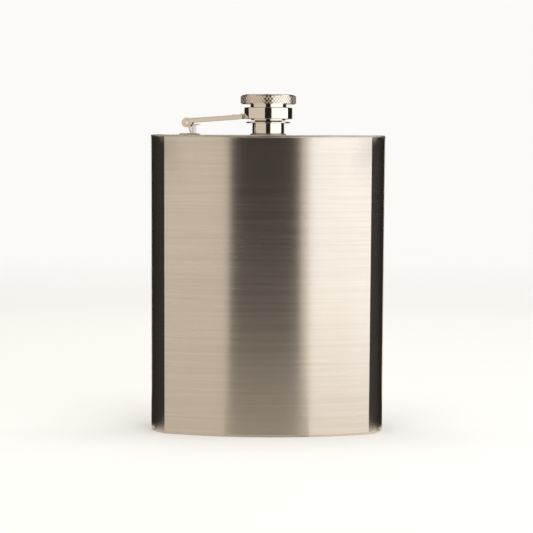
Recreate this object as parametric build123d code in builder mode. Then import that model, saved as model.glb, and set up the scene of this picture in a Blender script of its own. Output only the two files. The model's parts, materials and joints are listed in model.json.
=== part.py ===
"""Hip flask with a captive screw cap, as separate pieces.

Millimetres, +Z up, front towards -Y. The origin is on the ground under the middle of the body.
The body is a wrapped sheet of kidney section, closed by two plates. A threaded neck stands on the top plate.
The cap screws on the neck and turns freely in a captive collar, which a link arm ties to a bracket.
"""

import os
from math import asin, cos, degrees, hypot, radians, sin, sqrt

from build123d import *

# Body
body_width = 95.0
body_thickness = 23.0
body_height = 120.5
front_radius = 126.0  # the front bulges, seen from above
back_radius = 120.0  # the back is hollow, to lie on the hip
side_bulge = 6.2  # how far each rounded side stands out past the fold of the front
crease_radius = 0.8
back_edge_radius = 5.0
sheet = 0.6
plate = 1.0
plate_edge_radius = 0.7
seam_height = 0.35  # weld metal between the sheet and each plate
seam_inner_bead = 0.25  # how far a seam stands proud inside
side_seam_width = 0.8

# Neck, with heights above the top plate
mouth_radius = 4.6
neck_radius = 6.5
neck_below_plate = 1.2
flange_radius = 9.0
flange_height = 4.6
flange_thickness = 0.65
flange_edge = 0.25
flange_fillet = 0.45
neck_above_collar = 0.1  # the neck's rim over the collar's top
neck_wall = 0.75  # under the thread
rim_chamfer = 0.25
neck_weld_width = 0.7
neck_weld_height = 0.6

# Screw thread, right-handed
pitch = 1.5
thread_depth = 0.65
thread_root_width = 1.0
thread_crest_width = 0.3
thread_clearance = 0.2
thread_runout = 0.775  # from the middle of the last male turn up to the neck's rim
male_turns = 2.25
female_turns = 1.75

# Captive collar and cap
collar_gap = 1.0  # over the flange, with the cap closed
collar_height = 4.65
collar_radius = 9.8
collar_edge = 0.25
shank_wall = 0.8  # round the female thread
shank_gap = 0.5  # over the flange, with the cap closed
turning_clearance = 0.05
recess_depth = 0.85
recess_width = 1.1
ring_thickness = 0.5
ring_clearance = 0.2
ring_groove_depth = 0.4
shoulder_step = 0.3  # the shank's shoulder, which rests on the collar
groove_height = 1.2
head_height = 3.65
head_radius = 11.1
head_edge = 0.35
head_rim = 1.4  # round the crown
crown_depth = 0.6
crown_rise = 0.25
spigot_height = 1.0
liner_thickness = 1.0
liner_clearance = 0.1

# Link arm
hinge_distance = 32.7  # from the neck's axis to the shoulder pin
shoulder_height = 4.8  # of the pin above the top plate
tip_pin_gap = 1.6  # from the pin's axis to the collar
tip_pin_rise = 0.92  # of the pin above the collar's underside
arm_width = 6.0
arm_sheet = 0.6
arm_half_height = 0.92
arm_bend = 0.35
arm_axis_drop = 0.75  # the shoulder pin hangs this far under the arm's middle line
eye_radius = 2.0
arm_end_gap = 0.3  # between the arm's end and the collar
flare_rise = 0.5
flare_length = 1.2
web_start = 2.7  # from the shoulder pin
web_end_gap = 0.6  # between the web and the knuckle

# Pins, bracket and knuckle
shoulder_pin_radius = 1.0
shoulder_pin_hollow = 0.65
pin_clearance = 0.05
pin_head_radius = 1.4
pin_head_thickness = 0.25
tip_pin_radius = 0.5
slot_clearance = 0.1
knuckle_half_height = 0.95
knuckle_end_wall = 0.8
knuckle_side_gap = 0.25
bracket_sheet = 0.55
foot_width = 7.4
foot_length = 6.4
foot_middle = 0.7  # right of the shoulder pin
stem_lean = 0.9  # how far the stem leans right on its way down
stop_leg = 2.55  # right of the shoulder pin
stop_width = 6.8
stop_reach = 4.6  # from the shoulder pin to the end of the stop lip
stop_gap = 0.4  # between the stop lip and the resting arm
bracket_bead = 0.35

# How far the cap unscrews before the arm can swing
cap_turns_to_open = 3.6

os.makedirs("parts", exist_ok=True)

crease_x = body_width / 2 - side_bulge

# Radii that follow from the mouth outwards, each with its own wall or clearance
thread_core_radius = mouth_radius + neck_wall
thread_crest_radius = thread_core_radius + thread_depth
thread_root_radius = thread_crest_radius + thread_clearance
insert_radius = thread_root_radius + shank_wall
groove_radius = insert_radius + shoulder_step
recess_radius = insert_radius + recess_width
ring_radius = recess_radius - ring_clearance
crown_radius = head_radius - head_rim

# Heights above the top plate that follow from the flange upwards
flange_top = flange_height + flange_thickness
collar_bottom = flange_top + collar_gap
insert_bottom = flange_top + shank_gap
tip_pin_height = collar_bottom + tip_pin_rise
collar_top = collar_bottom + collar_height
neck_top = collar_top + neck_above_collar
thread_start = neck_top - thread_runout - male_turns * pitch


def save(part, name):
    """Label a finished piece and write its STEP file."""
    part.label = name
    export_step(part, f"parts/{name}.step")


def turned(*corners):
    """A solid of revolution on the neck's axis. The corners are (radius, height above the top plate)."""
    with BuildPart(mode=Mode.PRIVATE) as solid:
        with BuildSketch(turning_plane):
            Polygon(*corners, align=None)
        revolve(axis=neck_axis)
    return solid.part


def rings(part, radius):
    """The circular edges of one radius."""
    return part.edges().filter_by(GeomType.CIRCLE).filter_by(lambda e: abs(e.radius - radius) < 0.005)


def arc_drop(radius, x):
    """How far an arc of this radius has fallen away at x from its middle."""
    return radius - sqrt(radius**2 - x**2)


def crossing(centre_a, radius_a, centre_b, radius_b, near):
    """Of the two points where two circles cross, the one nearest to a given point."""
    span_x = centre_b[0] - centre_a[0]
    span_y = centre_b[1] - centre_a[1]
    span = hypot(span_x, span_y)
    along = (radius_a**2 - radius_b**2 + span**2) / (2 * span)
    across = sqrt(radius_a**2 - along**2)
    foot_x = centre_a[0] + along * span_x / span
    foot_y = centre_a[1] + along * span_y / span
    points = [
        (foot_x + side * across * span_y / span, foot_y - side * across * span_x / span) for side in (-1, 1)
    ]
    return min(points, key=lambda point: hypot(point[0] - near[0], point[1] - near[1]))


def kidney(front, inset=0.0):
    """The body's section seen from above, its front middle at y = front, or a line that far inside it."""
    front_corner = front + arc_drop(front_radius, crease_x)
    back_corner = front + body_thickness + arc_drop(back_radius, crease_x)
    middle = (front_corner + back_corner) / 2
    side_radius = (((back_corner - front_corner) / 2) ** 2 + side_bulge**2) / (2 * side_bulge)
    side_centre = (body_width / 2 - side_radius, middle)
    inner_side = side_radius - inset
    fold_x, fold_y = crossing(
        side_centre,
        inner_side,
        (0, front + front_radius),
        front_radius - inset,
        (crease_x, front_corner),
    )
    edge_x, edge_y = crossing(
        side_centre,
        inner_side,
        (0, front + body_thickness + back_radius),
        back_radius + inset,
        (crease_x, back_corner),
    )
    side_x = body_width / 2 - inset
    with BuildSketch() as section:
        with BuildLine():
            ThreePointArc((-fold_x, fold_y), (0, front + inset), (fold_x, fold_y))
            ThreePointArc((fold_x, fold_y), (side_x, middle), (edge_x, edge_y))
            ThreePointArc((edge_x, edge_y), (0, front + body_thickness - inset), (-edge_x, edge_y))
            ThreePointArc((-edge_x, edge_y), (-side_x, middle), (-fold_x, fold_y))
        make_face()
        if back_edge_radius > inset:
            fillet(section.vertices().sort_by(Axis.Y)[-2:], back_edge_radius - inset)
        if crease_radius > inset:
            fillet(section.vertices().sort_by(Axis.Y)[:2], crease_radius - inset)
    return section.sketch


# The section is centred front to back on the origin, and the neck stands in the middle of the plate.
front_y = -kidney(0).bounding_box().size.Y / 2
outline = kidney(front_y)
sheet_inside = kidney(front_y, sheet)
seam_inside = kidney(front_y, sheet + seam_inner_bead)
neck_y = front_y + body_thickness / 2
side_y = front_y + (arc_drop(front_radius, crease_x) + body_thickness + arc_drop(back_radius, crease_x)) / 2
top = body_height
sheet_bottom = plate + seam_height
sheet_top = top - plate - seam_height

# Body shell: one sheet bent round, open along the side where its edges are welded
with BuildPart() as body_shell:
    with BuildSketch(Plane.XY.offset(sheet_bottom)):
        add(outline)
        add(sheet_inside, mode=Mode.SUBTRACT)
    extrude(amount=sheet_top - sheet_bottom)
    with BuildSketch(Plane.XY.offset(sheet_bottom)):
        with Locations((body_width / 2, side_y)):
            Rectangle(4 * sheet, side_seam_width)
    extrude(amount=sheet_top - sheet_bottom, mode=Mode.SUBTRACT)
save(body_shell.part, "body_shell")

# Side seam: the upright weld that joins the sheet's edges, flush outside and proud inside
with BuildPart() as side_seam:
    with BuildSketch(Plane.XY.offset(sheet_bottom)):
        add(outline)
        add(seam_inside, mode=Mode.SUBTRACT)
        with Locations((body_width / 2, side_y)):
            Rectangle(4 * sheet, side_seam_width, mode=Mode.INTERSECT)
    extrude(amount=sheet_top - sheet_bottom)
save(side_seam.part, "side_seam_weld")

# Plate seams: the weld round each end of the sheet
for name, level in (("base_seam_weld", plate), ("top_seam_weld", sheet_top)):
    with BuildPart() as plate_seam:
        with BuildSketch(Plane.XY.offset(level)):
            add(outline)
            add(seam_inside, mode=Mode.SUBTRACT)
        extrude(amount=seam_height)
    save(plate_seam.part, name)

# Base plate
with BuildPart() as base_plate:
    with BuildSketch():
        add(outline)
    extrude(amount=plate)
    fillet(base_plate.faces().sort_by(Axis.Z)[0].edges(), plate_edge_radius)
save(base_plate.part, "base_plate")

# Top plate, with the hole that the neck passes through
with BuildPart() as top_plate:
    with BuildSketch(Plane.XY.offset(top - plate)):
        add(outline)
    extrude(amount=plate)
    fillet(top_plate.faces().sort_by(Axis.Z)[-1].edges(), plate_edge_radius)
    with Locations((0, neck_y, top)):
        Hole(neck_radius)
save(top_plate.part, "top_plate")

# All turned pieces share the neck's axis. Their outlines are drawn as (radius, height above the top plate).
neck_axis = Axis((0, neck_y, 0), (0, 0, 1))
turning_plane = Plane(origin=(0, neck_y, top), x_dir=(1, 0, 0), z_dir=(0, -1, 0))


def thread_ridge(inner_radius, outer_radius, root_is_inside, start, turns):
    """A helical ridge between two radii, on the neck's axis, which starts at height start above the plate."""
    root = inner_radius if root_is_inside else outer_radius
    crest = outer_radius if root_is_inside else inner_radius
    with BuildPart(mode=Mode.PRIVATE) as ridge:
        with BuildLine():
            helix = Helix(pitch=pitch, height=pitch * turns, radius=(inner_radius + outer_radius) / 2)
        with BuildSketch(Plane(origin=(0, 0, 0), x_dir=(1, 0, 0), z_dir=(0, -1, 0))):
            Polygon(
                (root, -thread_root_width / 2),
                (root, thread_root_width / 2),
                (crest, thread_crest_width / 2),
                (crest, -thread_crest_width / 2),
                align=None,
            )
        sweep(path=helix, is_frenet=True)
    return ridge.part.moved(Location((0, neck_y, top + start)))


# Neck: a turned spout with a drip flange and a male thread
with BuildPart() as neck:
    add(
        turned(
            (mouth_radius, -plate - neck_below_plate),
            (neck_radius, -plate - neck_below_plate),
            (neck_radius, flange_height),
            (flange_radius, flange_height),
            (flange_radius, flange_top),
            (thread_core_radius, flange_top),
            (thread_core_radius, neck_top),
            (mouth_radius, neck_top),
        )
    )
    fillet(rings(neck, flange_radius), flange_edge)
    fillet(rings(neck, thread_core_radius).sort_by(Axis.Z)[0], flange_fillet)
    chamfer(neck.faces().sort_by(Axis.Z)[-1].edges(), rim_chamfer)
    add(thread_ridge(thread_core_radius - 0.05, thread_crest_radius, True, thread_start, male_turns))
save(neck.part, "neck")

# Neck weld: a fillet weld round the foot of the neck
with BuildPart() as neck_weld:
    with BuildSketch(turning_plane):
        with BuildLine():
            Line((neck_radius, 0), (neck_radius + neck_weld_width, 0))
            ThreePointArc(
                (neck_radius + neck_weld_width, 0),
                (neck_radius + 0.6 * neck_weld_width, 0.55 * neck_weld_height),
                (neck_radius, neck_weld_height),
            )
            Line((neck_radius, neck_weld_height), (neck_radius, 0))
        make_face()
    revolve(axis=neck_axis)
save(neck_weld.part, "neck_weld")

# Collar: a captive sleeve, recessed underneath for the retaining ring
recess_top = collar_bottom + recess_depth
collar_hole = insert_radius + turning_clearance
with BuildPart() as collar:
    add(
        turned(
            (collar_hole, recess_top),
            (recess_radius, recess_top),
            (recess_radius, collar_bottom),
            (collar_radius, collar_bottom),
            (collar_radius, collar_top),
            (collar_hole, collar_top),
        )
    )
    fillet(rings(collar, collar_radius), collar_edge)
save(collar.part, "collar")

# Cap insert: a shank with the female thread, which turns in the collar
insert_shoulder = collar_top + turning_clearance
head_bottom = collar_top + groove_height
spigot_top = head_bottom + spigot_height
ring_top = recess_top - turning_clearance
ring_bottom = ring_top - ring_thickness
liner_top = neck_top + liner_thickness
with BuildPart() as cap_insert:
    add(
        turned(
            (thread_root_radius, insert_bottom),
            (insert_radius, insert_bottom),
            (insert_radius, ring_bottom),
            (insert_radius - ring_groove_depth, ring_bottom),
            (insert_radius - ring_groove_depth, ring_top),
            (insert_radius, ring_top),
            (insert_radius, insert_shoulder),
            (groove_radius, insert_shoulder),
            (groove_radius, spigot_top),
            (0, spigot_top),
            (0, liner_top),
            (thread_root_radius, liner_top),
        )
    )
    add(
        thread_ridge(
            thread_core_radius + thread_clearance,
            thread_root_radius + 0.05,
            False,
            thread_start + pitch / 2,
            female_turns,
        )
    )
save(cap_insert.part, "cap_insert")

# Retaining ring: sits in the shank's groove and holds the collar up
with BuildPart() as retaining_ring:
    add(
        turned(
            (insert_radius - ring_groove_depth, ring_bottom),
            (ring_radius, ring_bottom),
            (ring_radius, ring_top),
            (insert_radius - ring_groove_depth, ring_top),
        )
    )
save(retaining_ring.part, "retaining_ring")

# Seal liner: a soft disc that closes on the neck's rim
with BuildPart() as seal_liner:
    liner_radius = thread_root_radius - liner_clearance
    add(turned((0, neck_top), (liner_radius, neck_top), (liner_radius, liner_top), (0, liner_top)))
save(seal_liner.part, "seal_liner")

# Cap head: the turned grip, pressed on the shank
head_top = head_bottom + head_height
with BuildPart() as cap_head:
    add(
        turned(
            (groove_radius, head_bottom),
            (head_radius, head_bottom),
            (head_radius, head_top),
            (crown_radius, head_top),
            (crown_radius, head_top - crown_depth),
            (0, head_top - crown_depth),
            (0, spigot_top),
            (groove_radius, spigot_top),
        )
    )
    chamfer(rings(cap_head, head_radius), head_edge)
save(cap_head.part, "cap_head")

# Cap crown: the disc let into the top of the head
with BuildPart() as cap_crown:
    crown_top = head_top + crown_rise
    add(
        turned(
            (0, head_top - crown_depth),
            (crown_radius, head_top - crown_depth),
            (crown_radius, crown_top),
            (0, crown_top),
        )
    )
    fillet(rings(cap_crown, crown_radius).sort_by(Axis.Z)[-1], crown_rise * 0.8)
save(cap_crown.part, "cap_crown")

# The bracket stands midway between the plate's front and back edges, so the arm slants back from the neck.
# Places on the arm's upright plane are (distance right of the neck's axis, height above the top plate).
arm_slant = 0.0
for _ in range(20):
    middle_drop = (
        arc_drop(front_radius, hinge_distance * cos(arm_slant))
        + arc_drop(back_radius, hinge_distance * cos(arm_slant))
    ) / 2
    arm_slant = asin(middle_drop / hinge_distance)
along_arm = (cos(arm_slant), -sin(arm_slant), 0)
across_arm = (-sin(arm_slant), -cos(arm_slant), 0)


def on_arm(distance, height):
    """A point on the arm's upright plane."""
    return (distance * cos(arm_slant), neck_y - distance * sin(arm_slant), top + height)


# The arm's two pins. The arm's own tilt is found from where they stand.
reach = hinge_distance - collar_radius - tip_pin_gap
lift = tip_pin_height - shoulder_height
arm_length = sqrt(reach**2 + lift**2)
rest_angle = degrees(asin(lift / arm_length))
arm_angle = rest_angle - degrees(asin(arm_axis_drop / arm_length))
cap_rise = pitch * cap_turns_to_open
open_angle = degrees(asin((lift + cap_rise) / arm_length))
slot_travel = arm_length * (cos(radians(rest_angle)) - cos(radians(open_angle)))
pin_plane = Plane(origin=on_arm(-hinge_distance, shoulder_height), x_dir=along_arm, z_dir=across_arm)
arm_tilt = radians(arm_angle)
arm_plane = Plane(
    origin=pin_plane.origin,
    x_dir=(cos(arm_tilt) * along_arm[0], cos(arm_tilt) * along_arm[1], sin(arm_tilt)),
    z_dir=across_arm,
)
tip_plane = Plane(
    origin=on_arm(-collar_radius - tip_pin_gap, tip_pin_height), x_dir=along_arm, z_dir=across_arm
)

# Shoulder pin: a hollow rivet through the bracket's knuckle and the arm's eyes
pin_half = arm_width / 2 + pin_clearance
with BuildPart() as shoulder_pin:
    with BuildSketch(pin_plane):
        Circle(pin_head_radius)
    extrude(amount=pin_half + pin_head_thickness, both=True)
    with BuildSketch(pin_plane):
        Circle(pin_head_radius + 1)
        Circle(shoulder_pin_radius, mode=Mode.SUBTRACT)
    extrude(amount=pin_half, both=True, mode=Mode.SUBTRACT)
    with BuildSketch(pin_plane):
        Circle(shoulder_pin_hollow)
    extrude(amount=pin_half + pin_head_thickness, both=True, mode=Mode.SUBTRACT)
save(shoulder_pin.part, "shoulder_pin")

# Collar pin: riveted flush in the arm's cheeks
with BuildPart() as collar_pin:
    with BuildSketch(tip_plane):
        Circle(tip_pin_radius)
    extrude(amount=arm_width / 2, both=True)
save(collar_pin.part, "collar_pin")

# Knuckle: a block on the collar, with the slot that the collar pin slides in as the cap rises
knuckle_left = slot_travel + 2 * slot_clearance + tip_pin_radius + knuckle_end_wall
knuckle_width = arm_width - 2 * arm_sheet - 2 * knuckle_side_gap
with BuildPart() as collar_knuckle:
    with BuildSketch(tip_plane):
        Polygon(
            (-knuckle_left, -knuckle_half_height),
            (tip_pin_gap + 1, -knuckle_half_height),
            (tip_pin_gap + 1, knuckle_half_height),
            (-knuckle_left, knuckle_half_height),
            align=None,
        )
        with Locations((-slot_travel / 2, 0)):
            SlotCenterToCenter(
                slot_travel + 2 * slot_clearance,
                2 * (tip_pin_radius + slot_clearance),
                mode=Mode.SUBTRACT,
            )
    extrude(amount=knuckle_width / 2, both=True)
    with Locations((0, neck_y, top + tip_pin_height)):
        Cylinder(collar_radius, 4 * knuckle_half_height, mode=Mode.SUBTRACT)
save(collar_knuckle.part, "collar_knuckle")

# Arm: a channel folded from sheet, open underneath, with an eye at the left and a fork at the right
arm_top = arm_axis_drop + arm_half_height
arm_underside = arm_axis_drop - arm_half_height
arm_end = arm_length + tip_pin_gap - arm_end_gap
web_end = arm_length - knuckle_left - web_end_gap
with BuildPart() as arm:
    with BuildSketch(arm_plane):
        Circle(eye_radius)
        Polygon(
            (0, arm_underside),
            (arm_end, arm_underside),
            (arm_end, arm_top + flare_rise),
            (arm_end - flare_length, arm_top),
            (0, arm_top),
            align=None,
        )
    extrude(amount=arm_width / 2, both=True)
    outer_folds = arm.edges().filter_by(GeomType.LINE).filter_by(lambda e: e.length > arm_length / 2)
    fillet(outer_folds.sort_by(Axis.Z)[-2:], arm_bend)
    far = arm_end + 9
    web_under = arm_top - arm_sheet
    with BuildSketch(arm_plane):
        Polygon((-9, -9), (web_start, -9), (web_start, 9), (-9, 9), align=None)
        Polygon((0, -9), (far, -9), (far, web_under), (0, web_under), align=None)
        Polygon((web_end, -9), (far, -9), (far, 9), (web_end, 9), align=None)
    extrude(amount=arm_width / 2 - arm_sheet, both=True, mode=Mode.SUBTRACT)
    with BuildSketch(pin_plane):
        Circle(shoulder_pin_radius + pin_clearance)
    extrude(amount=arm_width, both=True, mode=Mode.SUBTRACT)
    with BuildSketch(tip_plane):
        Circle(tip_pin_radius)
    extrude(amount=arm_width, both=True, mode=Mode.SUBTRACT)
save(arm.part, "arm")

# Hinge bracket: foot, leaning stem, knuckle, and a stop leg with a lip under the arm
foot_level = -shoulder_height + bracket_sheet / 2
knuckle_outer = shoulder_pin_radius + pin_clearance + bracket_sheet
lip = arm_underside - stop_gap - bracket_sheet / 2
with BuildPart() as hinge_bracket:
    with BuildSketch(pin_plane):
        with Locations((foot_middle, foot_level)):
            Rectangle(foot_length, bracket_sheet)
    extrude(amount=foot_width / 2, both=True)
    with BuildSketch(pin_plane):
        with BuildLine():
            Line((0.7, -0.8 * knuckle_outer), (0.7 + stem_lean, foot_level))
        trace(line_width=bracket_sheet)
        Circle(knuckle_outer)
    extrude(amount=knuckle_width / 2, both=True)
    with BuildSketch(pin_plane):
        Circle(shoulder_pin_radius + pin_clearance)
    extrude(amount=knuckle_width, both=True, mode=Mode.SUBTRACT)
    with BuildSketch(pin_plane):
        with BuildLine():
            ThreePointArc((stop_leg + 0.25, foot_level), (stop_leg, foot_level / 2), (stop_leg + 0.25, lip))
            Line((stop_leg + 0.25, lip), (stop_reach, lip + 0.1))
        trace(line_width=bracket_sheet)
    extrude(amount=stop_width / 2, both=True)
save(hinge_bracket.part, "hinge_bracket")

# Bracket weld: the bead round the bracket's foot
with BuildPart() as bracket_weld:
    with BuildSketch(Plane(origin=on_arm(foot_middle - hinge_distance, 0), x_dir=along_arm)):
        Rectangle(foot_length + 2 * bracket_bead, foot_width + 2 * bracket_bead)
        Rectangle(foot_length, foot_width, mode=Mode.SUBTRACT)
    extrude(amount=bracket_sheet * 0.9)
    outside = bracket_weld.faces().sort_by(Axis.Z)[-1].outer_wire().edges()
    chamfer(outside, bracket_bead * 0.7)
save(bracket_weld.part, "bracket_weld")
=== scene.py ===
# %% [markdown]
# # Hip flask with a captive screw cap
# A hip flask is a flat steel bottle, bent to lie against the hip. Its cap screws on the neck and hangs on a
# little arm, so that it can't be lost. The sizes and the joints come from a CAD model. Here the pieces get
# the shapes and finishes that a workshop gives them: brushed sheet, polished fittings, a knurled grip.

# %% Load the frame
import json
import math

import bpy
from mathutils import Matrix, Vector

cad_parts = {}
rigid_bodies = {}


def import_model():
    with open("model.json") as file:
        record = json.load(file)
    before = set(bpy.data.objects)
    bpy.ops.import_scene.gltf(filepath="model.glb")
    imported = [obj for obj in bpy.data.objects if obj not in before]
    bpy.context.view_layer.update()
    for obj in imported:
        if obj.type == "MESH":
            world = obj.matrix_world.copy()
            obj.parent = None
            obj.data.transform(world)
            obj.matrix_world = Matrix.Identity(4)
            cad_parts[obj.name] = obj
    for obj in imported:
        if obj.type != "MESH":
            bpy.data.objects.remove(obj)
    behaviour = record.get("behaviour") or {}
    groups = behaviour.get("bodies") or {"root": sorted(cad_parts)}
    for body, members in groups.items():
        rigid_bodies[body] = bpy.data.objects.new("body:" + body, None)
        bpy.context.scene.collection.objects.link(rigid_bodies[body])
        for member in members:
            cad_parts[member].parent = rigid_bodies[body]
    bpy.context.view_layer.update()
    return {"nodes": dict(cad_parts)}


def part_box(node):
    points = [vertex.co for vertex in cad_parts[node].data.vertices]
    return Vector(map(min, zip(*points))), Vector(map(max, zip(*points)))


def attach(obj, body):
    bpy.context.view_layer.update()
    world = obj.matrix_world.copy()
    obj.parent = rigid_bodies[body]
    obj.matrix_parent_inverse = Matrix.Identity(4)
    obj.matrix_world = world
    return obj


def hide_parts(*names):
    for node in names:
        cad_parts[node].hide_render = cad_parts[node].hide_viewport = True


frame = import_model()
mm = 0.001

# %% [markdown]
# ## The camera
# A long lens from about 0.6 m, level with the top of the body and tipped down a little, as one looks at a
# flask on a table. The camera is made first, because every finish is judged through it.

# %% Camera
camera_side = -0.4 * mm
camera_distance = 590 * mm
camera_height = 120.5 * mm
# both in degrees: how far the lens tips down, and how far the camera leans
camera_tip = 5.15
camera_roll = 0.3
focal_length = 98.6
sensor_width = 36

bpy.ops.object.select_all(action="DESELECT")
bpy.ops.object.camera_add(
    location=(camera_side, -camera_distance, camera_height),
    rotation=(math.radians(90 - camera_tip), 0, 0),
)
camera = bpy.context.object
camera.data.lens = focal_length
camera.data.sensor_width = sensor_width
camera.data.clip_start = 0.01
camera.data.clip_end = 20
camera.rotation_euler.rotate_axis("Z", math.radians(camera_roll))
bpy.context.scene.camera = camera
print("camera at", [round(v, 4) for v in camera.location])

# %% [markdown]
# ## Small helpers
# Blender's operators act on whatever is selected. So each step starts by dropping the old selection, and
# picks the faces, edges or points it works on by where they are. Colours are written as sRGB hex codes, as
# a paint chart gives them, and turned linear once, because shaders calculate with linear light.

# %% Selecting by place
def deselect():
    """Leave edit mode and drop the selection, so that the next operator acts only on its own piece."""
    if bpy.context.object and bpy.context.object.mode != "OBJECT":
        bpy.ops.object.mode_set(mode="OBJECT")
    bpy.ops.object.select_all(action="DESELECT")


def pick(piece, kind, test):
    """In edit mode, select the VERT, EDGE or FACE elements whose points all pass the test."""
    bpy.ops.object.mode_set(mode="EDIT")
    bpy.ops.mesh.select_mode(type=kind)
    bpy.ops.mesh.select_all(action="DESELECT")
    bpy.ops.object.mode_set(mode="OBJECT")
    mesh = piece.data
    if kind == "VERT":
        for point in mesh.vertices:
            point.select = test(piece.matrix_world @ point.co)
    else:
        for part in mesh.edges if kind == "EDGE" else mesh.polygons:
            part.select = all(test(piece.matrix_world @ mesh.vertices[v].co) for v in part.vertices)
    bpy.ops.object.mode_set(mode="EDIT")


deselect()
print("objects still selected:", len(bpy.context.selected_objects))


# %% Colours and nodes
def colour(code):
    """An sRGB hex code as a linear colour, with full alpha."""
    parts = [int(code[i : i + 2], 16) / 255 for i in (1, 3, 5)]
    return tuple(p / 12.92 if p <= 0.04045 else ((p + 0.055) / 1.055) ** 2.4 for p in parts) + (1,)


def new_material(name):
    """An empty node material."""
    made = bpy.data.materials.new(name)
    made.use_nodes = True
    made.node_tree.nodes.clear()
    return made


def add_node(tree, kind, inputs=None, **settings):
    """One node, with its settings, and each input set to a value or linked from an output."""
    made = tree.nodes.new(kind)
    for name, value in settings.items():
        setattr(made, name, value)
    for name, value in (inputs or {}).items():
        if isinstance(value, bpy.types.NodeSocket):
            tree.links.new(value, made.inputs[name])
        else:
            made.inputs[name].default_value = value
    return made


def repeat(size):
    """The texture scale whose pattern repeats about once in a size given in metres."""
    return 1 / size


print("half-bright sRGB grey as linear light:", round(colour("#808080")[0], 3))


# %% [markdown]
# ## The studio
# Polished steel shows its surroundings more than itself, so the room is planned from the steel's side. A
# warm panel stands on the left and a brighter white one on the right. Between them, where the camera
# stands, is a dark gap, and that gap is the dark stripe down the middle of the flask. The table is pale
# and wide, but the steel doesn't mirror it. Cards of chosen brightness, made further on, do that part.

# %% Floor
def pale_sheet(name, low, high):
    """A flat sheet on the ground between two corners."""
    middle = ((low[0] + high[0]) / 2, (low[1] + high[1]) / 2, 0)
    deselect()
    bpy.ops.mesh.primitive_plane_add(size=1, location=middle)
    made = bpy.context.object
    made.name = name
    made.scale = (high[0] - low[0], high[1] - low[1], 1)
    bpy.ops.object.transform_apply(location=True, rotation=True, scale=True)
    return made


floor_reach = 5
floor = pale_sheet("studio_floor", (-floor_reach, -floor_reach), (floor_reach, floor_reach))
floor.visible_glossy = False
floor.visible_shadow = False
print("floor width in m:", round(floor.dimensions.x, 2))

# %% [markdown]
# Paint alone would fade to grey far from the lamps, and draw a horizon. So the floor's paint melts into
# the tone of the room between a third of a metre and a metre from the flask, and no edge shows.

# %% Paint for the floor and the room
room_tone = colour("#FBFAF8")
fade_start = 0.3
fade_end = 1.0
paint = new_material("matt_white_glow")
tree = paint.node_tree
place = add_node(tree, "ShaderNodeTexCoord")
far = add_node(tree, "ShaderNodeVectorMath", {0: place.outputs["Object"]}, operation="LENGTH")
fade = add_node(
    tree,
    "ShaderNodeMapRange",
    {"Value": far.outputs["Value"], "From Min": fade_start, "From Max": fade_end},
    interpolation_type="SMOOTHSTEP",
)
# matt wall paint scatters light evenly, so its roughness is high and nothing shines
coat = add_node(tree, "ShaderNodeBsdfPrincipled", {"Base Color": colour("#F6F5F3"), "Roughness": 0.9})
tone = add_node(tree, "ShaderNodeEmission", {"Color": room_tone, "Strength": 1.0})
melt = add_node(
    tree,
    "ShaderNodeMixShader",
    {0: fade.outputs["Result"], 1: coat.outputs["BSDF"], 2: tone.outputs["Emission"]},
)
add_node(tree, "ShaderNodeOutputMaterial", {"Surface": melt.outputs["Shader"]})
floor.data.materials.append(paint)
print("floor melts into the room between", fade_start, "and", fade_end, "m")

# %% Pale surroundings
room_radius = 5.5
deselect()
bpy.ops.mesh.primitive_uv_sphere_add(segments=48, ring_count=24, radius=room_radius, location=(0, 0, 0))
room = bpy.context.object
room.name = "studio_room"
bpy.ops.object.shade_smooth()
room_paint = new_material("pale_room")
tree = room_paint.node_tree
shader = add_node(tree, "ShaderNodeEmission", {"Color": room_tone, "Strength": 1.0})
add_node(tree, "ShaderNodeOutputMaterial", {"Surface": shader.outputs["Emission"]})
room.data.materials.append(room_paint)
room.visible_glossy = False
room.visible_diffuse = False
room.visible_shadow = False
print("room radius in m:", room_radius)


# %% Light panels
def panel(name, code, glow, width, height, place, target, mirrored=True):
    """A soft light panel that faces the target. glow is its brightness as seen in a mirror."""
    deselect()
    bpy.ops.object.light_add(type="AREA", location=place)
    made = bpy.context.object
    made.name = name
    made.data.shape = "RECTANGLE"
    made.data.size = width
    made.data.size_y = height
    made.data.color = colour(code)[:3]
    made.data.energy = glow * math.pi * width * height
    made.rotation_euler = (Vector(target) - Vector(place)).to_track_quat("-Z", "Y").to_euler()
    made.visible_camera = False
    made.visible_glossy = mirrored


def around(angle, distance, height):
    """A place at an angle from the front, positive to the right, seen from above."""
    a = math.radians(angle)
    return (distance * math.sin(a), -distance * math.cos(a), height)


panel_distance = 0.9


def side_panel(name, code, glow, first, last, low, high):
    """A panel that spans two angles and two heights, at the panels' common distance."""
    middle = (first + last) / 2
    half = math.radians(abs(last - first) / 2)
    width = 2 * panel_distance * math.tan(half)
    centre_height = (low + high) / 2
    place = around(middle, panel_distance, centre_height)
    panel(name, code, glow, width, high - low, place, (0, 0, centre_height))


tall = 0.75
warm = "#FFF4E4"
white = "#FFFFFF"
cream = "#FFFBF4"
# where the dark gap begins and ends, in degrees to the left and right of the front
gap_left = -16
gap_right = 14
# a narrow dimmer strip softens the gap's bright edge
strip_edge = 17.5
# two panels make each side, and meet at these angles
left_fold = -59
right_fold = 60
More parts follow.
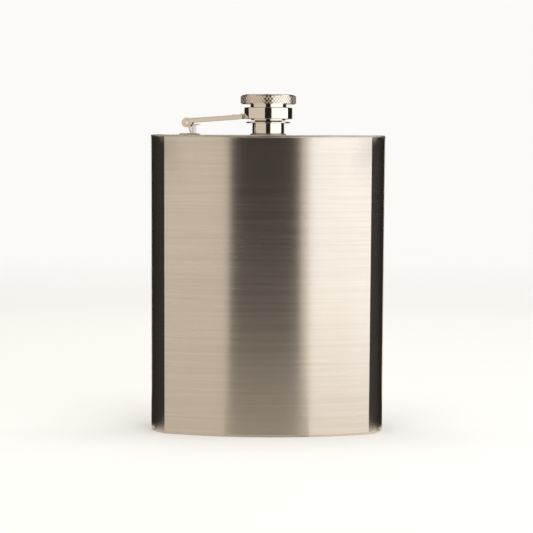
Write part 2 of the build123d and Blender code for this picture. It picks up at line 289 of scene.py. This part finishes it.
# the side panels reach a little way behind the flask
side_edge = 104
side_panel("left_panel_front", warm, 0.76, gap_left, left_fold, -tall, tall)
side_panel("left_panel_side", warm, 0.76, left_fold, -side_edge, -tall, tall)
side_panel("right_strip", warm, 0.80, gap_right, strip_edge, -tall, tall)
side_panel("right_panel_front", white, 1.40, strip_edge, right_fold, -tall, tall)
side_panel("right_panel_side", white, 1.55, right_fold, side_edge, -tall, tall)
side_panel("back_panel", cream, 0.8, 150, 210, -0.3, 0.6)
flask_foot = (0, 0, 0)
panel("top_panel", cream, glow=1.2, width=1.6, height=1.4, place=(0, 0.1, 1.5), target=flask_foot)
# the floor's own lamp is left out of the steel, which would show it as a white blot
panel(
    "floor_light",
    white,
    glow=2.9,
    width=1.8,
    height=1.8,
    place=(0, -0.3, 2.0),
    target=flask_foot,
    mirrored=False,
)

# %% Air and tone
# a trace of light from everywhere, so that nothing is quite black
air_glow = 0.02
world = bpy.data.worlds.new("studio_air")
bpy.context.scene.world = world
world.use_nodes = True
world.node_tree.nodes["Background"].inputs["Color"].default_value = colour("#FFF6EC")
world.node_tree.nodes["Background"].inputs["Strength"].default_value = air_glow
bpy.context.scene.view_settings.view_transform = "Standard"

# %% [markdown]
# Some cards are seen only in the steel. Each glows with its own light: painted light, which the steel
# shows as a painted reflection. A dim one lies on the floor in front, as wide as the dark stripe's share
# of the room, and gives the foot of the stripe its glow. A brighter card at each side of it keeps the foot
# of the bright zones from going grey, and a pale one lies behind, for the hollow back. Two dark niches
# stand at the sides, open towards the flask. They glow faintly, darker towards the back, as painted shade,
# and draw the rounded sides dark, so that the broad front stands out between them.

# %% Cards in front and behind
def only_in_steel(card, finish):
    """A card that shows in reflections and nowhere else."""
    card.data.materials.append(finish)
    card.visible_camera = False
    card.visible_diffuse = False
    card.visible_shadow = False
    card.visible_transmission = False


def card_glow(name, glow):
    """A plain warm card that glows at one brightness: painted light, seen only as a reflection in the
    steel.
    """
    made = new_material(name)
    shader = add_node(made.node_tree, "ShaderNodeEmission", {"Color": colour("#FFF3E3"), "Strength": glow})
    add_node(made.node_tree, "ShaderNodeOutputMaterial", {"Surface": shader.outputs["Emission"]})
    return made


card_front = -170 * mm
card_side = 120 * mm
near_half = 13 * mm
# the dim card widens forwards, as the dark gap does when seen from the flask
spread = 4.9
# each card glows with its own light, a painted reflection that only the steel shows
front_card = pale_sheet("front_card", (-near_half, card_front), (near_half, 0))
pick(front_card, "VERT", lambda p: p.y < card_front / 2)
bpy.ops.transform.resize(value=(spread, 1, 1), center_override=(0, card_front, 0))
bpy.ops.object.mode_set(mode="OBJECT")
only_in_steel(front_card, card_glow("dim_card_glow", 0.52))
# the side cards lie a millimetre lower, so that the dim card covers their middle
for name, left, right, glow in (("left_card", -card_side, 0, 0.65), ("right_card", 0, card_side, 0.88)):
    side_card = pale_sheet(name, (left, card_front), (right, 0))
    bpy.ops.transform.translate(value=(0, 0, -1 * mm))
    bpy.ops.object.transform_apply(location=True, rotation=True, scale=True)
    only_in_steel(side_card, card_glow(name + "_glow", glow))
back_card = pale_sheet("back_card", (-450 * mm, 0), (450 * mm, 400 * mm))
only_in_steel(back_card, card_glow("pale_card_glow", 0.85))
print("dim card's front edge in mm:", round(front_card.dimensions.x / mm, 1))

# %% Dark niches
niche_dim_glow = new_material("niche_dim_glow")
tree = niche_dim_glow.node_tree
place = add_node(tree, "ShaderNodeTexCoord")
depth = add_node(tree, "ShaderNodeSeparateXYZ", {"Vector": place.outputs["Object"]})
# the niches glow faintly, darker towards the back: painted shade, so that the sides darken towards their
# edge
tone = add_node(
    tree,
    "ShaderNodeMapRange",
    {
        "Value": depth.outputs["Y"],
        "From Min": -30 * mm,
        "From Max": 60 * mm,
        "To Min": 0.045,
        "To Max": 0.012,
    },
)
shader = add_node(
    tree, "ShaderNodeEmission", {"Color": colour("#FFF4E6"), "Strength": tone.outputs["Result"]}
)
add_node(tree, "ShaderNodeOutputMaterial", {"Surface": shader.outputs["Emission"]})
niche_x = 80 * mm
niche_y = 15 * mm
niche_z = 61 * mm
niche_height = 120 * mm
niche_width = 100 * mm
shelf_depth = 31 * mm
# the lower shelf's front corner stands back, to let the foot of the flask see the floor cards
corner_back = 22 * mm
for name, side in (("left_niche", -1), ("right_niche", 1)):
    deselect()
    bpy.ops.mesh.primitive_plane_add(
        size=1, location=(side * niche_x, niche_y, niche_z), rotation=(0, math.pi / 2, 0)
    )
    niche = bpy.context.object
    niche.name = name
    niche.scale = (niche_height, niche_width, 1)
    bpy.ops.object.transform_apply(location=True, rotation=True, scale=True)
    pick(niche, "EDGE", lambda p: p.z > niche_z)
    bpy.ops.mesh.extrude_region_move(TRANSFORM_OT_translate={"value": (-side * shelf_depth, 0, 0)})
    pick(niche, "EDGE", lambda p: p.z < niche_z)
    bpy.ops.mesh.extrude_region_move(TRANSFORM_OT_translate={"value": (-side * shelf_depth, 0, 0)})
    pick(niche, "VERT", lambda p: p.z < niche_z and p.y < 0 and abs(p.x) < niche_x - shelf_depth / 2)
    bpy.ops.transform.translate(value=(0, corner_back, 0))
    bpy.ops.object.mode_set(mode="OBJECT")
    only_in_steel(niche, niche_dim_glow)
    print(name, "faces:", len(niche.data.polygons))

# %% [markdown]
# ## Steel finishes
# All the metal is the same stainless steel, a little warm. What differs is how it was finished. The body
# was drawn along an abrasive belt, so fine level scratches spread every highlight upright. That is what an
# anisotropic shader does. Its highlight stretches along the tangent, so the tangent stands across the
# grain. The grain itself is one stretched noise that steers colour, roughness and bump together.

# %% Brushed steel
# how far the scratches and the clouds move the roughness, and how far the scratches move the colour
grain_spread = 0.01
cloud_spread = 0.008
darkest = 0.95
brightest = 1.04
grain_depth = 0.02 * mm
# a noise texture seldom leaves this range
noise_low = 0.3
noise_high = 0.7


def brushed_steel(name, tint, stretch, across, rough):
    """Steel with straight fine scratches. stretch makes the grain long one way; across is square to it."""
    made = new_material(name)
    tree = made.node_tree
    place = add_node(tree, "ShaderNodeTexCoord")
    grain_place = add_node(
        tree, "ShaderNodeMapping", {"Vector": place.outputs["Object"], "Scale": stretch}
    )
    # Real belt scratches are some centimetres long and a few hundredths of a millimetre apart. That is
    # too fine to show, so these are drawn from a millimetre apart down to a quarter of one, and deeper.
    grain = add_node(
        tree,
        "ShaderNodeTexNoise",
        {"Vector": grain_place.outputs["Vector"], "Scale": 1.0, "Detail": 1.5, "Roughness": 0.6},
    )
    # handling leaves faint cloudy patches some centimetres across
    cloud = add_node(
        tree,
        "ShaderNodeTexNoise",
        {"Vector": place.outputs["Object"], "Scale": repeat(36 * mm), "Detail": 3.0},
    )
    scratched = add_node(
        tree,
        "ShaderNodeMapRange",
        {
            "Value": grain.outputs["Fac"],
            "From Min": noise_low,
            "From Max": noise_high,
            "To Min": rough - grain_spread,
            "To Max": rough + grain_spread,
        },
    )
    smudged = add_node(
        tree,
        "ShaderNodeMapRange",
        {
            "Value": cloud.outputs["Fac"],
            "From Min": 0.35,
            "From Max": 0.65,
            "To Min": -cloud_spread,
            "To Max": cloud_spread,
        },
    )
    roughness = add_node(tree, "ShaderNodeMath", operation="ADD")
    tree.links.new(scratched.outputs["Result"], roughness.inputs[0])
    tree.links.new(smudged.outputs["Result"], roughness.inputs[1])
    shade = add_node(
        tree,
        "ShaderNodeMapRange",
        {
            "Value": grain.outputs["Fac"],
            "From Min": noise_low,
            "From Max": noise_high,
            "To Min": darkest,
            "To Max": brightest,
        },
    )
    dulled = add_node(tree, "ShaderNodeVectorMath", {0: tint[:3]}, operation="SCALE")
    tree.links.new(shade.outputs["Result"], dulled.inputs["Scale"])
    bump = add_node(
        tree,
        "ShaderNodeBump",
        {"Height": grain.outputs["Fac"], "Strength": 0.12, "Distance": grain_depth},
    )
    tangent = add_node(tree, "ShaderNodeCombineXYZ", {"X": across[0], "Y": across[1], "Z": across[2]})
    shader = add_node(
        tree,
        "ShaderNodeBsdfPrincipled",
        {
            "Base Color": dulled.outputs["Vector"],
            "Metallic": 1.0,
            "Roughness": roughness.outputs["Value"],
            "Anisotropic": 1.0,
            "Tangent": tangent.outputs["Vector"],
            "Normal": bump.outputs["Normal"],
        },
    )
    add_node(tree, "ShaderNodeOutputMaterial", {"Surface": shader.outputs["BSDF"]})
    return made


steel_tint = colour("#E1D9CF")
belt_rough = 0.26
along = repeat(50 * mm)
over = repeat(1.05 * mm)
brushed_wall = brushed_steel(
    "brushed_stainless_wall", steel_tint, (along, along, over), (0, 0, 1), belt_rough
)
brushed_plate = brushed_steel(
    "brushed_stainless_plate", steel_tint, (along, over, over), (0, 1, 0), belt_rough
)
print("brushed steels:", brushed_wall.name, brushed_plate.name)

# %% [markdown]
# The fittings are polished on a felt wheel. A mirror that is perfectly clean looks like computer graphics,
# so the roughness wanders a little, as where fingers have been.

# %% Polished steel
def polished_steel(name, tint, clean, touched):
    """Mirror-bright steel whose roughness drifts between clean and touched."""
    made = new_material(name)
    tree = made.node_tree
    place = add_node(tree, "ShaderNodeTexCoord")
    touch = add_node(
        tree,
        "ShaderNodeTexNoise",
        {"Vector": place.outputs["Object"], "Scale": repeat(4.5 * mm), "Detail": 4.0},
    )
    roughness = add_node(
        tree,
        "ShaderNodeMapRange",
        {
            "Value": touch.outputs["Fac"],
            "From Min": 0.35,
            "From Max": 0.7,
            "To Min": clean,
            "To Max": touched,
        },
    )
    bump = add_node(
        tree, "ShaderNodeBump", {"Height": touch.outputs["Fac"], "Strength": 0.08, "Distance": 0.02 * mm}
    )
    shader = add_node(
        tree,
        "ShaderNodeBsdfPrincipled",
        {
            "Base Color": tint,
            "Metallic": 1.0,
            "Roughness": roughness.outputs["Result"],
            "Normal": bump.outputs["Normal"],
        },
    )
    add_node(tree, "ShaderNodeOutputMaterial", {"Surface": shader.outputs["BSDF"]})
    return made


# polishing also brightens the steel a little
buffed_tint = colour("#E4DCD2")
polished = polished_steel("polished_stainless_fitting", buffed_tint, clean=0.05, touched=0.09)
knurled = polished_steel("knurled_stainless_grip", buffed_tint, clean=0.12, touched=0.2)
print("polished steels:", polished.name, knurled.name)

# %% [markdown]
# The crown of the cap was faced on a lathe, so its scratches are rings round the cap's axis. The tangent
# that stands across them points outwards from the axis, and the rings are bands of distance from it.

# %% Turned steel
cap_y = (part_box("cap_crown")[0][1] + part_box("cap_crown")[1][1]) / 2
turned = new_material("turned_stainless_crown")
tree = turned.node_tree
place = add_node(tree, "ShaderNodeTexCoord")
centred = add_node(
    tree, "ShaderNodeMapping", {"Vector": place.outputs["Object"], "Location": (0, -cap_y, 0)}
)
outward = add_node(
    tree, "ShaderNodeVectorMath", {0: centred.outputs["Vector"], 1: (1, 1, 0)}, operation="MULTIPLY"
)
# A lathe leaves rings a tenth of a millimetre apart. These are drawn coarser, so that they show. A wave
# texture counts in radians and multiplies by 20 inside, which its scale has to undo.
ring_gap = 0.42 * mm
rings = add_node(
    tree,
    "ShaderNodeTexWave",
    {
        "Vector": centred.outputs["Vector"],
        "Scale": repeat(ring_gap) * 2 * math.pi / 20,
        "Distortion": 0.6,
        "Detail": 3.0,
    },
    wave_type="RINGS",
    rings_direction="Z",
)
roughness = add_node(
    tree, "ShaderNodeMapRange", {"Value": rings.outputs["Fac"], "To Min": 0.2, "To Max": 0.27}
)
bump = add_node(
    tree, "ShaderNodeBump", {"Height": rings.outputs["Fac"], "Strength": 0.15, "Distance": 0.01 * mm}
)
shader = add_node(
    tree,
    "ShaderNodeBsdfPrincipled",
    {
        "Base Color": steel_tint,
        "Metallic": 1.0,
        "Roughness": roughness.outputs["Result"],
        "Anisotropic": 0.8,
        "Tangent": outward.outputs["Vector"],
        "Normal": bump.outputs["Normal"],
    },
)
add_node(tree, "ShaderNodeOutputMaterial", {"Surface": shader.outputs["BSDF"]})
print("cap axis at y in mm:", round(cap_y / mm, 3))

# %% [markdown]
# The welds at the neck and the bracket are left as the torch laid them: dull, a little straw-coloured from
# the heat, and pitted. The seams of the body were ground flush and brushed with the wall.

# %% Weld metal
weld = new_material("heat_tinted_weld")
tree = weld.node_tree
place = add_node(tree, "ShaderNodeTexCoord")
# pits about half a millimetre apart
pits = add_node(
    tree,
    "ShaderNodeTexNoise",
    {"Vector": place.outputs["Object"], "Scale": repeat(0.55 * mm), "Detail": 5.0},
)
tint_noise = add_node(
    tree, "ShaderNodeTexNoise", {"Vector": place.outputs["Object"], "Scale": repeat(2.5 * mm)}
)
# the heat tint comes and goes along the bead
heat = add_node(
    tree,
    "ShaderNodeMix",
    {0: tint_noise.outputs["Fac"], 6: colour("#CFC6BA"), 7: colour("#BFAA8C")},
    data_type="RGBA",
)
dull = add_node(tree, "ShaderNodeMapRange", {"Value": pits.outputs["Fac"], "To Min": 0.28, "To Max": 0.5})
bump = add_node(
    tree, "ShaderNodeBump", {"Height": pits.outputs["Fac"], "Strength": 0.4, "Distance": 0.05 * mm}
)
shader = add_node(
    tree,
    "ShaderNodeBsdfPrincipled",
    {
        "Base Color": heat.outputs[2],
        "Metallic": 1.0,
        "Roughness": dull.outputs["Result"],
        "Normal": bump.outputs["Normal"],
    },
)
add_node(tree, "ShaderNodeOutputMaterial", {"Surface": shader.outputs["BSDF"]})
print("nodes in the weld metal:", len(tree.nodes))

# %% [markdown]
# The seal in the cap is a disc of milky silicone. Silicone is matt and lets a little light in, which
# subsurface scattering shows, at a depth that fits a one-millimetre disc.

# %% Silicone
silicone = new_material("milky_silicone")
tree = silicone.node_tree
place = add_node(tree, "ShaderNodeTexCoord")
bloom = add_node(
    tree,
    "ShaderNodeTexNoise",
    {"Vector": place.outputs["Object"], "Scale": repeat(1.1 * mm), "Detail": 4.0},
)
tone = add_node(
    tree,
    "ShaderNodeMix",
    {0: bloom.outputs["Fac"], 6: colour("#DEDAD0"), 7: colour("#D0CBBF")},
    data_type="RGBA",
)
bump = add_node(
    tree, "ShaderNodeBump", {"Height": bloom.outputs["Fac"], "Strength": 0.2, "Distance": 0.02 * mm}
)
shader = add_node(
    tree,
    "ShaderNodeBsdfPrincipled",
    {
        "Base Color": tone.outputs[2],
        "Roughness": 0.55,
        "Subsurface Weight": 0.25,
        "Subsurface Scale": 0.5 * mm,
        "Normal": bump.outputs["Normal"],
    },
)
add_node(tree, "ShaderNodeOutputMaterial", {"Surface": shader.outputs["BSDF"]})
print("nodes in the silicone:", len(tree.nodes))

# %% [markdown]
# ## Finishes on the CAD pieces
# Most turned and pressed pieces have their true shape already, so they only need their finish.

# %% Finishes
finishes = {
    "body_shell": brushed_wall,
    "side_seam_weld": brushed_wall,
    "base_seam_weld": brushed_wall,
    "top_seam_weld": brushed_wall,
    "base_plate": brushed_plate,
    "top_plate": brushed_plate,
    "neck": polished,
    "collar": polished,
    "collar_pin": polished,
    "cap_insert": polished,
    "retaining_ring": polished,
    "cap_crown": turned,
    "seal_liner": silicone,
}
for name, finish in finishes.items():
    node = frame["nodes"][name]
    node.data.materials.clear()
    node.data.materials.append(finish)
print("finished CAD pieces:", len(finishes))

# %% [markdown]
# ## The knurled grip
# A knurl is rolled into the rim of the cap by two wheels, one leaning each way, and leaves rows of flat
# diamonds between fine grooves. One diamond is modelled, doubled to make the staggered pair, and copied
# round the axis. The rims are then drawn out of the band's open edges, ring by ring, so the grip is one
# closed shell.

# %% One pair of knurl diamonds
head_low, head_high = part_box("cap_head")
# a real knurl of this size has about 70 diamonds round; 58 are drawn, so that the grooves show
knurls_around = 58
knurl_height = 1.7 * mm
rim = 0.35 * mm
# the cap's axis stands at x = 0, so the highest x of a round piece is its radius
grip_radius = head_high.x
knurl_depth = 0.28 * mm
groove_slope = 0.17 * mm
valley_radius = grip_radius - knurl_depth
half_step = math.pi / knurls_around
half_width = valley_radius * math.tan(half_step)
band_low = head_low.z + rim
band_high = head_high.z - rim
axis_place = Vector((0, cap_y, 0))

deselect()
bpy.ops.mesh.primitive_circle_add(
    vertices=4,
    radius=1,
    fill_type="NGON",
    location=(0, cap_y - valley_radius, band_low),
    rotation=(math.pi / 2, 0, 0),
)
grip = bpy.context.object
grip.name = "knurled_grip"
grip.scale = (half_width, knurl_height / 2, 1)
bpy.ops.object.transform_apply(location=True, rotation=True, scale=True)
bpy.ops.object.mode_set(mode="EDIT")
bpy.ops.mesh.select_all(action="SELECT")
bpy.ops.mesh.inset(thickness=groove_slope, depth=knurl_depth)
bpy.ops.mesh.select_all(action="SELECT")
bpy.ops.mesh.duplicate()
bpy.ops.transform.rotate(value=half_step, orient_axis="Z", center_override=axis_place)
bpy.ops.transform.translate(value=(0, 0, knurl_height / 2))
bpy.ops.mesh.select_all(action="SELECT")
bpy.ops.mesh.duplicate()
bpy.ops.transform.translate(value=(0, 0, knurl_height))
bpy.ops.mesh.duplicate()
bpy.ops.transform.translate(value=(0, 0, knurl_height))
print("diamond width in mm:", round(2 * half_width / mm, 3))

# %% Round the axis
bpy.ops.mesh.select_all(action="SELECT")
bpy.ops.mesh.spin(
    steps=knurls_around - 1,
    dupli=True,
    angle=2 * math.pi * (knurls_around - 1) / knurls_around,
    center=axis_place,
    axis=(0, 0, 1),
)
# neighbouring diamonds meet at their corners, give or take the curve of the band
corner_gap = 0.03 * mm
bpy.ops.mesh.select_all(action="SELECT")
bpy.ops.mesh.remove_doubles(threshold=corner_gap)
bpy.ops.mesh.select_all(action="SELECT")
bpy.ops.mesh.bisect(plane_co=(0, 0, band_low), plane_no=(0, 0, -1), clear_outer=True)
bpy.ops.mesh.select_all(action="SELECT")
bpy.ops.mesh.bisect(plane_co=(0, 0, band_high), plane_no=(0, 0, 1), clear_outer=True)
bpy.ops.object.mode_set(mode="OBJECT")
print("knurl faces:", len(grip.data.polygons))


# %% Rims, crown seat and bore
def next_ring(piece, radius, rise):
    """Extrude the selected ring of edges to another radius and height, and make it a true circle."""
    bpy.ops.mesh.extrude_region_move(TRANSFORM_OT_translate={"value": (0, 0, rise)})
    bpy.ops.object.mode_set(mode="OBJECT")
    ring = [v.co for v in piece.data.vertices if v.select]
    centre = Vector((0, cap_y, ring[0].z))
    bpy.ops.object.mode_set(mode="EDIT")
    bpy.ops.transform.tosphere(value=1, center_override=centre)
    bpy.ops.object.mode_set(mode="OBJECT")
    ring = [v.co for v in piece.data.vertices if v.select]
    now = sum((co - centre).length for co in ring) / len(ring)
    bpy.ops.object.mode_set(mode="EDIT")
    bpy.ops.transform.resize(value=(radius / now, radius / now, 1), center_override=centre)


crown_low, crown_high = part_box("cap_crown")
insert_low, insert_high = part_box("cap_insert")
crown_seat = crown_high.x
seat_depth = head_high.z - crown_low.z
bore = insert_high.x
bore_depth = insert_high.z - head_low.z
first_rise = 0.04 * mm
rim_slope = 0.1 * mm
same_height = 0.005 * mm
pick(grip, "EDGE", lambda p: abs(p.z - band_high) < same_height)
next_ring(grip, valley_radius, first_rise)
next_ring(grip, valley_radius - rim_slope, rim - first_rise)
next_ring(grip, crown_seat, 0)
next_ring(grip, crown_seat, -seat_depth)
bpy.ops.mesh.edge_face_add()
pick(grip, "EDGE", lambda p: abs(p.z - band_low) < same_height)
next_ring(grip, valley_radius, -first_rise)
next_ring(grip, valley_radius - rim_slope, -(rim - first_rise))
next_ring(grip, bore, 0)
next_ring(grip, bore, bore_depth)
bpy.ops.mesh.edge_face_add()
bpy.ops.mesh.select_all(action="SELECT")
bpy.ops.mesh.normals_make_consistent(inside=False)
bpy.ops.object.mode_set(mode="OBJECT")
# the grooves turn more sharply than this, so they keep their edges, and the rims look round
groove_angle = math.radians(20)
bpy.ops.object.shade_smooth_by_angle(angle=groove_angle)
grip.data.materials.append(knurled)
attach(grip, "screw_cap")
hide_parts("cap_head")
print("grip faces:", len(grip.data.polygons), "radius in mm:", round(grip.dimensions.x / 2 / mm, 3))

# %% [markdown]
# ## Softened edges
# No edge of a pressed or filed piece is razor sharp, and the thin bright line along a softened edge is what
# makes metal look like metal. A CAD piece arrives as loose triangles, so its copy is merged, its flat
# faces are joined up, and a bevel modifier then rounds every edge that turns more sharply than 35 degrees.

# %% A softened copy
merge_gap = 0.002 * mm
flat_angle = math.radians(0.5)
edge_angle = math.radians(35)
smooth_angle = math.radians(40)


def softened(node, name, width, finish, body, steps=2):
    """A copy of a CAD piece with its edges rounded, which stands for it."""
    deselect()
    source = frame["nodes"][node]
    source.select_set(True)
    bpy.context.view_layer.objects.active = source
    bpy.ops.object.duplicate()
    made = bpy.context.object
    made.name = name
    made.data.name = name
    bpy.ops.object.parent_clear(type="CLEAR_KEEP_TRANSFORM")
    bpy.ops.object.transform_apply(location=True, rotation=True, scale=True)
    bpy.ops.object.mode_set(mode="EDIT")
    bpy.ops.mesh.select_all(action="SELECT")
    bpy.ops.mesh.customdata_custom_splitnormals_clear()
    bpy.ops.mesh.remove_doubles(threshold=merge_gap)
    bpy.ops.mesh.select_all(action="SELECT")
    bpy.ops.mesh.dissolve_limited(angle_limit=flat_angle)
    bpy.ops.object.mode_set(mode="OBJECT")
    bevel = made.modifiers.new("soft_edges", "BEVEL")
    bevel.width = width
    bevel.segments = steps
    bevel.limit_method = "ANGLE"
    bevel.angle_limit = edge_angle
    bevel.use_clamp_overlap = True
    bpy.ops.object.modifier_apply(modifier="soft_edges")
    bpy.ops.object.shade_smooth_by_angle(angle=smooth_angle)
    # the wide faces keep their own direction, so that only the bevels look round
    weights = made.modifiers.new("flat_faces", "WEIGHTED_NORMAL")
    weights.weight = 100
    weights.keep_sharp = True
    bpy.ops.object.modifier_apply(modifier="flat_faces")
    made.data.materials.clear()
    made.data.materials.append(finish)
    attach(made, body)
    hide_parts(node)
    print(name, "faces:", len(made.data.polygons))


# %% Arm, bracket, knuckle and rivet
softened("arm", "folded_arm", 0.12 * mm, polished, "link_arm")
softened("hinge_bracket", "bent_bracket", 0.1 * mm, polished, "flask")
softened("collar_knuckle", "collar_lug", 0.12 * mm, polished, "cap_collar")
softened("shoulder_pin", "rolled_rivet", 0.1 * mm, polished, "hinge_pin")
softened("bracket_weld", "bracket_bead", 0.14 * mm, weld, "flask", steps=3)

# %% [markdown]
# ## The bead round the neck
# A welder feeds the wire in small dabs, so a bead is a ring with even ripples. The ring is a torus sunk
# halfway into the corner between the neck and the plate, and every third band of it is drawn in a little.

# %% Neck bead
dabs = 48
bands_per_dab = 3
bands = bands_per_dab * dabs
ripple = 0.07 * mm
plate_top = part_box("top_plate")[1].z
weld_low, weld_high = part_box("neck_weld")
bead_reach = (weld_high.x - weld_low.x) / 2
bead_height = weld_high.z - plate_top
# the ring's own radius is a little under the bead's height, so its middle lies just above the plate
bead_thickness = 0.9 * bead_height
deselect()
bpy.ops.mesh.primitive_torus_add(
    major_segments=bands,
    minor_segments=14,
    major_radius=bead_reach - bead_thickness,
    minor_radius=bead_thickness,
    location=(0, cap_y, plate_top + bead_height - bead_thickness),
)
bead = bpy.context.object
bead.name = "neck_bead"
bpy.ops.object.transform_apply(location=True, rotation=True, scale=True)


def in_groove(p):
    """True where a point lies on the one band of each dab that is drawn in."""
    turn = math.atan2(p.y - cap_y, p.x) / (2 * math.pi) * bands
    return round(turn) % bands_per_dab == 0


pick(bead, "VERT", in_groove)
bpy.ops.transform.shrink_fatten(value=-ripple)
bpy.ops.object.mode_set(mode="OBJECT")
bpy.ops.object.shade_smooth()
bead.data.materials.append(weld)
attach(bead, "flask")
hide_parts("neck_weld")
print("bead faces:", len(bead.data.polygons), "dabs:", dabs)

# %% Clear the selection
deselect()
